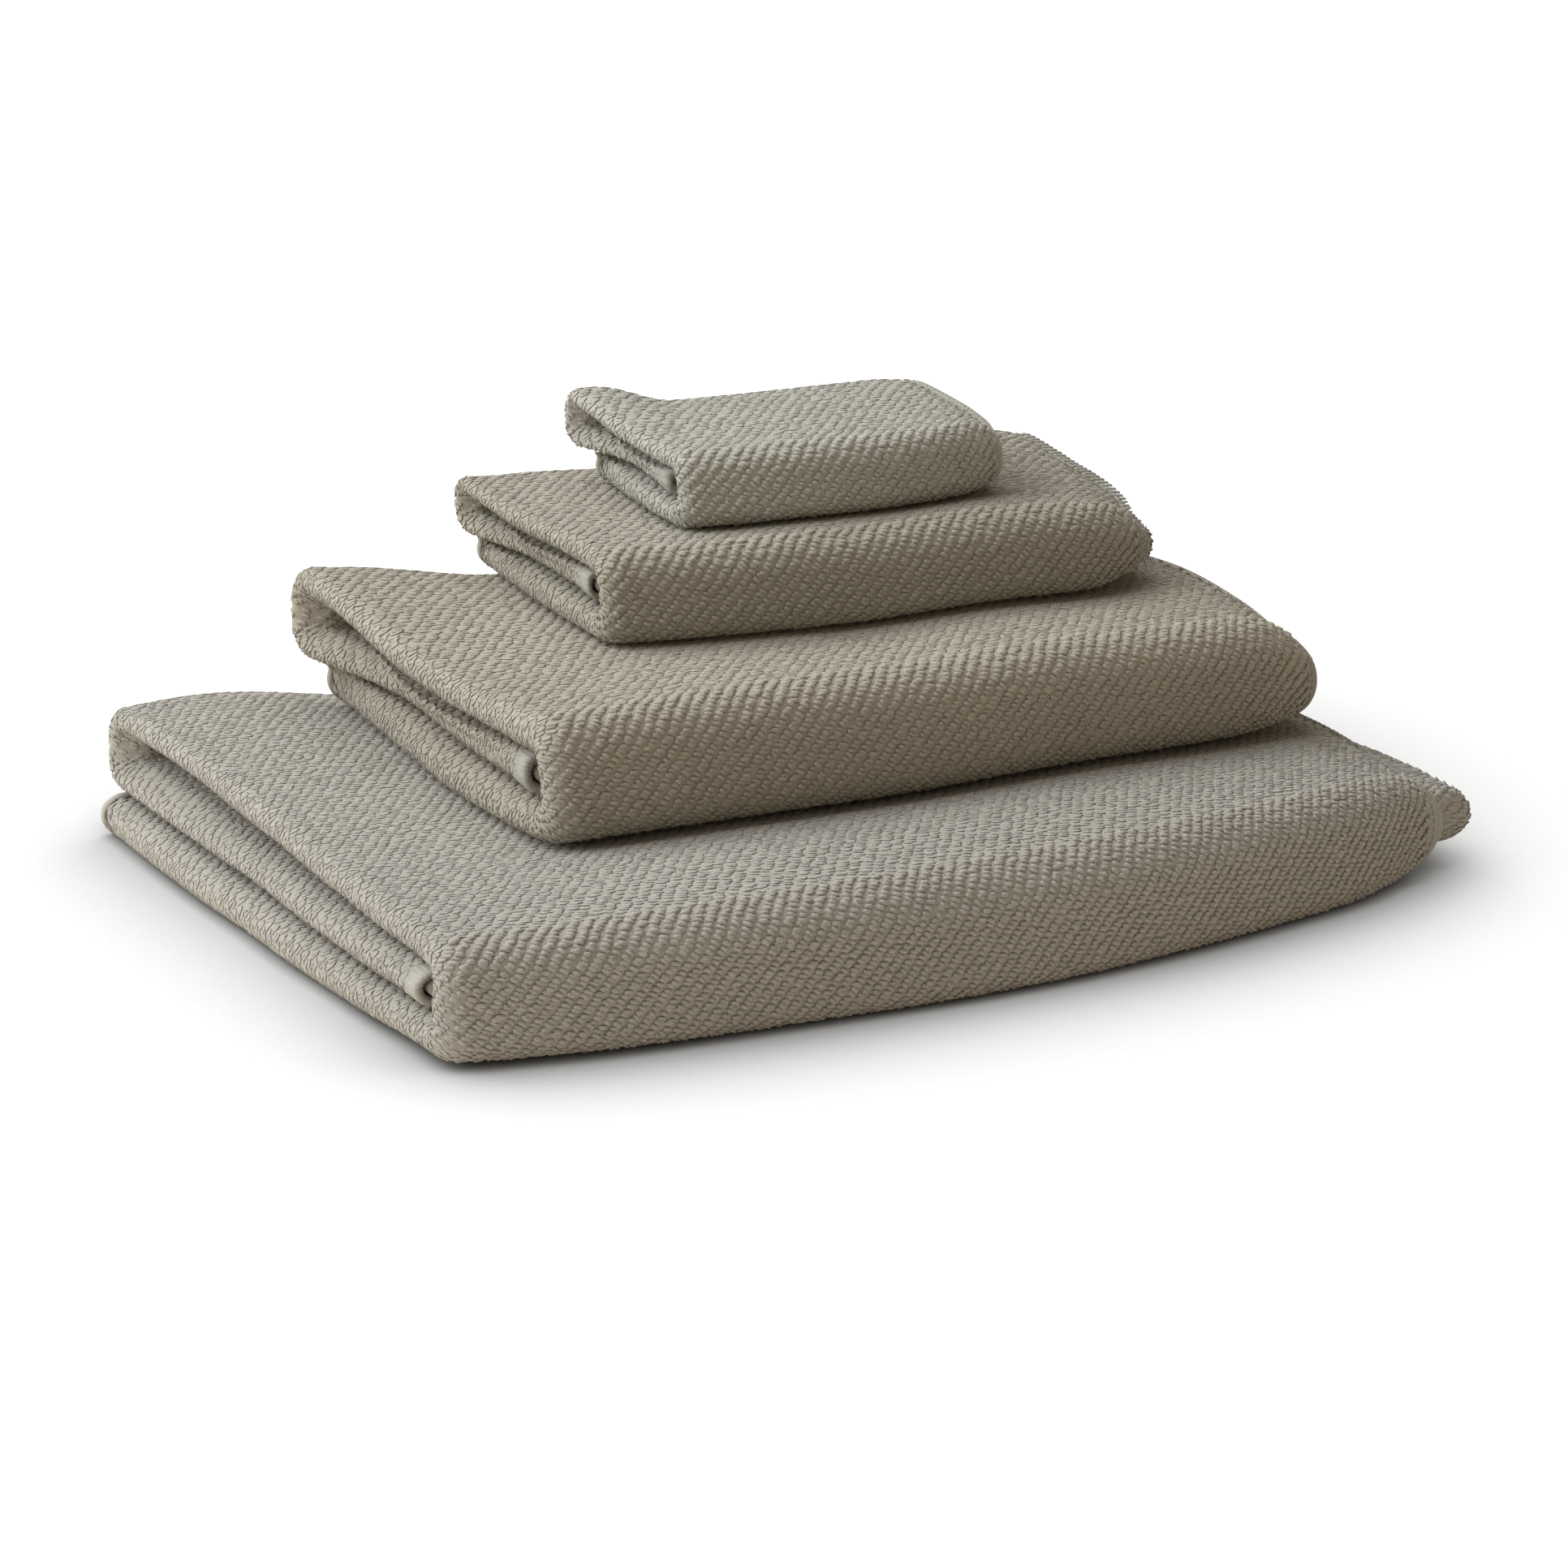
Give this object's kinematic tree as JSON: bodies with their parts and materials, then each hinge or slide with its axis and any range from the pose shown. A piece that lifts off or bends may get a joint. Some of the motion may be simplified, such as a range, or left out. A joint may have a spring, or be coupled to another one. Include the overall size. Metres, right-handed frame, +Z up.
{
  "type": "bath towel set",
  "caption": "Folded terry towels of graded sizes in a neat stack, largest at the bottom; each lifts off on its own.",
  "frame": {"origin": "middle of the whole stack's footprint, on the surface that it stands on", "axes": "+X along the long front wraps, from the folded left ends to the hemmed right ends; +Y to the back; +Z up"},
  "size_m": [0.463, 0.334, 0.1701],
  "materials": {
    "terry_grey_cream": "matte",
    "terry_warm_beige": "matte",
    "terry_beige": "matte",
    "terry_pale_cream": "matte",
    "hem_cotton": "matte",
    "hem_thread": "satin"
  },
  "bodies": {
    "bath_sheet": {"bath_sheet_terry": "terry_grey_cream", "bath_sheet_outer_end_hem": "hem_cotton", "bath_sheet_inner_end_hem": "hem_cotton", "bath_sheet_tucked_side_hem": "hem_cotton", "bath_sheet_back_side_hem": "hem_cotton", "bath_sheet_hem_thread": "hem_thread"},
    "bath_towel": {"bath_towel_terry": "terry_warm_beige", "bath_towel_outer_end_hem": "hem_cotton", "bath_towel_inner_end_hem": "hem_cotton", "bath_towel_tucked_side_hem": "hem_cotton", "bath_towel_back_side_hem": "hem_cotton", "bath_towel_hem_thread": "hem_thread"},
    "hand_towel": {"hand_towel_terry": "terry_beige", "hand_towel_outer_end_hem": "hem_cotton", "hand_towel_inner_end_hem": "hem_cotton", "hand_towel_tucked_side_hem": "hem_cotton", "hand_towel_back_side_hem": "hem_cotton", "hand_towel_hem_thread": "hem_thread"},
    "washcloth": {"washcloth_terry": "terry_pale_cream", "washcloth_outer_end_hem": "hem_cotton", "washcloth_inner_end_hem": "hem_cotton", "washcloth_tucked_side_hem": "hem_cotton", "washcloth_back_side_hem": "hem_cotton", "washcloth_hem_thread": "hem_thread"}
  },
  "joints": [
    {"name": "bath_towel_lift", "type": "slide", "parent": "bath_sheet", "child": "bath_towel", "axis": [0, 0, 1], "range_m": [0, 0.12]},
    {"name": "hand_towel_lift", "type": "slide", "parent": "bath_towel", "child": "hand_towel", "axis": [0, 0, 1], "range_m": [0, 0.12]},
    {"name": "washcloth_lift", "type": "slide", "parent": "hand_towel", "child": "washcloth", "axis": [0, 0, 1], "range_m": [0, 0.12]}
  ]
}
